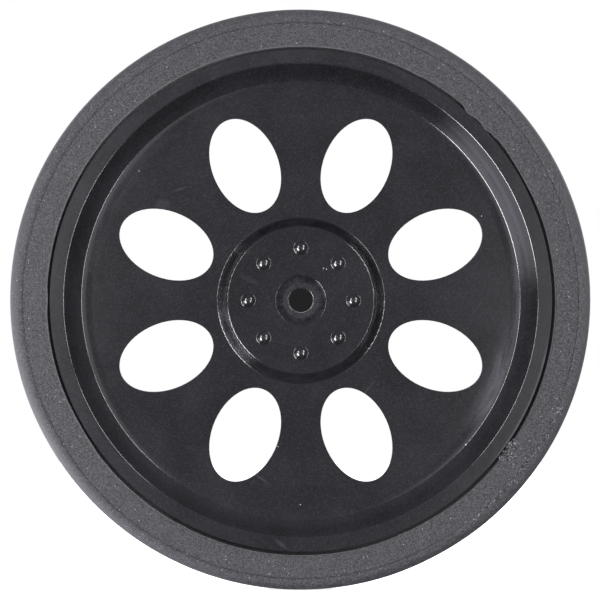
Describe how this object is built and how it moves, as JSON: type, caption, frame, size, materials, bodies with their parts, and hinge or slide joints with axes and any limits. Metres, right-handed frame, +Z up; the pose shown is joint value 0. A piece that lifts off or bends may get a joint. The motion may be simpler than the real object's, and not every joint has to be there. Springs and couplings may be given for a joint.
{
  "type": "servo motor wheel",
  "caption": "Push-on wheel for a hobby servo: moulded plastic disc with oval openings, a raised hub with a splined socket and screw seat, and a plain rubber tyre.",
  "frame": {"origin": "centre of the wheel: on the axle, in the middle plane of the tyre", "axes": "+Y along the axle towards the servo, so the wheel spins about Y and its outer face looks along -Y; +Z up"},
  "size_m": [0.0664, 0.008, 0.0664],
  "materials": {
    "wheel": "black ABS, moulded glossy, with light scuffs and dust",
    "tyre": "matt grey-black rubber with a fine grain, trimmed at the inner edge"
  },
  "bodies": {
    "root": {"wheel": "wheel", "tyre": "tyre"}
  },
  "joints": []
}
